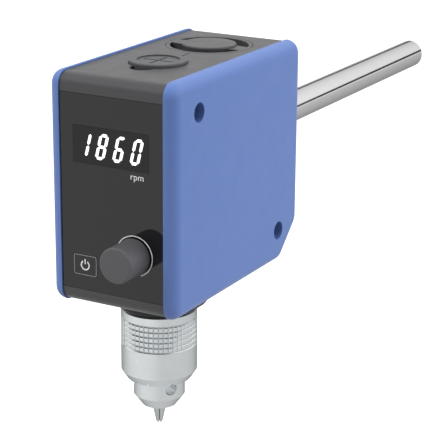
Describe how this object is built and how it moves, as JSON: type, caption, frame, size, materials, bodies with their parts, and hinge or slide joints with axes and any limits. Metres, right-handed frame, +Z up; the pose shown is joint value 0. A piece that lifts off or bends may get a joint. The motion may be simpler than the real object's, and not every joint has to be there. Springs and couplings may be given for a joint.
{
  "type": "overhead stirrer",
  "caption": "Compact overhead laboratory stirrer: box housing with side covers, digital display, speed knob, keyed drill chuck below and a round support rod at the rear.",
  "frame": {"origin": "on the support rod's axis, where the rod meets the plane of the covers' rear edges", "axes": "+Y along the support rod away from the housing, +Z up with the chuck pointing down, +X to the right as seen from the front panel; the front panel faces -Y"},
  "size_m": [0.0656, 0.357, 0.1784],
  "materials": {
    "shell_grey": "fine moulded texture",
    "cover_blue": "fine moulded texture, satin",
    "screw_steel": "zinc plated",
    "front_foil": "printed polyester foil, satin",
    "window_tint": "smoked acrylic",
    "display_module": "moulded",
    "circuit_board": "solder resist",
    "encoder_case": "moulded",
    "plated_brass": "nickel plated",
    "bright_steel": "ground",
    "knob_black": "fine moulded texture",
    "cast_aluminium": "die cast",
    "hub_black": "gloss moulded",
    "felt_seal": "felt",
    "belt_rubber": "flat belt",
    "motor_steel": "black zinc",
    "core_iron": "laminated",
    "rod_chrome": "drawn and polished stainless steel",
    "chuck_steel": "satin chromed steel",
    "jaw_steel": "hardened and ground steel",
    "cap_grey": "soft moulded plastic"
  },
  "bodies": {
    "housing": {"center_shell": "shell_grey", "left_cover": "cover_blue", "right_cover": "cover_blue", "cover_screws": "screw_steel", "front_foil": "front_foil", "display_window": "window_tint", "display_module": "display_module", "control_board": "circuit_board", "board_screws": "screw_steel", "encoder_body": "encoder_case", "encoder_nut": "plated_brass", "power_switch": "encoder_case", "drive_frame": "cast_aluminium", "frame_screws": "screw_steel", "spindle_hub": "hub_black", "shaft_seal": "felt_seal", "lower_outer_race": "bright_steel", "upper_outer_race": "bright_steel", "drive_belt": "belt_rubber", "motor_can": "motor_steel", "motor_plate": "cast_aluminium", "motor_stator": "core_iron", "motor_screws": "screw_steel", "support_rod": "rod_chrome", "rod_washer": "screw_steel", "rod_nut": "screw_steel", "power_inlet": "hub_black", "inlet_nut": "plated_brass"},
    "spindle": {"spindle": "bright_steel", "lower_inner_race": "bright_steel", "upper_inner_race": "bright_steel", "lower_balls": "bright_steel", "upper_balls": "bright_steel", "retaining_ring": "screw_steel", "spindle_pulley": "cast_aluminium", "chuck_body": "chuck_steel"},
    "chuck_sleeve": {"chuck_sleeve": "chuck_steel", "chuck_nut": "chuck_steel"},
    "chuck_jaw_1": {"chuck_jaw_1": "jaw_steel"},
    "chuck_jaw_2": {"chuck_jaw_2": "jaw_steel"},
    "chuck_jaw_3": {"chuck_jaw_3": "jaw_steel"},
    "motor_rotor": {"motor_rotor": "core_iron", "motor_shaft": "bright_steel", "motor_pulley": "cast_aluminium"},
    "control_knob": {"control_knob": "knob_black", "encoder_shaft": "bright_steel"},
    "power_key": {"power_key": "front_foil", "switch_plunger": "knob_black"},
    "spindle_cap": {"spindle_cap": "cap_grey"},
    "turn_cover": {"turn_cover": "shell_grey"}
  },
  "joints": [
    {"name": "spindle_spin", "type": "hinge", "parent": "housing", "child": "spindle", "pos_m": [0, -0.0811, 0], "axis": [0, 0, 1], "continuous": true},
    {"name": "motor_spin", "type": "hinge", "parent": "housing", "child": "motor_rotor", "pos_m": [0, -0.046, 0], "axis": [0, 0, 1], "continuous": true},
    {"name": "chuck_turn", "type": "hinge", "parent": "spindle", "child": "chuck_sleeve", "pos_m": [0, -0.0811, -0.09], "axis": [0, 0, -1], "range_deg": [0, 4458.5]},
    {"name": "jaw_1_slide", "type": "slide", "parent": "spindle", "child": "chuck_jaw_1", "axis": [0.2334, 0.0045, 0.9724], "range_m": [0, 0.0161]},
    {"name": "jaw_2_slide", "type": "slide", "parent": "spindle", "child": "chuck_jaw_2", "axis": [-0.1206, 0.1999, 0.9724], "range_m": [0, 0.0161]},
    {"name": "jaw_3_slide", "type": "slide", "parent": "spindle", "child": "chuck_jaw_3", "axis": [-0.1128, -0.2044, 0.9724], "range_m": [0, 0.0161]},
    {"name": "knob_turn", "type": "hinge", "parent": "housing", "child": "control_knob", "pos_m": [0.0117, -0.1215, -0.0303], "axis": [0, -1, 0], "continuous": true},
    {"name": "power_press", "type": "slide", "parent": "housing", "child": "power_key", "axis": [0, 1, 0], "range_m": [0, 0.0004], "stiffness_N_per_m": 2500, "springref_m": -0.0004},
    {"name": "cap_lift", "type": "hinge", "parent": "housing", "child": "spindle_cap", "pos_m": [0, -0.0578, 0.04815], "axis": [-1, 0, 0], "range_deg": [0, 100]},
    {"name": "cover_turn", "type": "hinge", "parent": "housing", "child": "turn_cover", "pos_m": [0, -0.034, 0.0486], "axis": [0, 0, 1], "range_deg": [0, 60]}
  ],
  "couplings": [
    {"joint": "motor_spin", "follows": "spindle_spin", "ratio": 2},
    {"joint": "jaw_1_slide", "follows": "chuck_turn", "m_per_rad": 0.0002069},
    {"joint": "jaw_2_slide", "follows": "chuck_turn", "m_per_rad": 0.0002069},
    {"joint": "jaw_3_slide", "follows": "chuck_turn", "m_per_rad": 0.0002069}
  ]
}
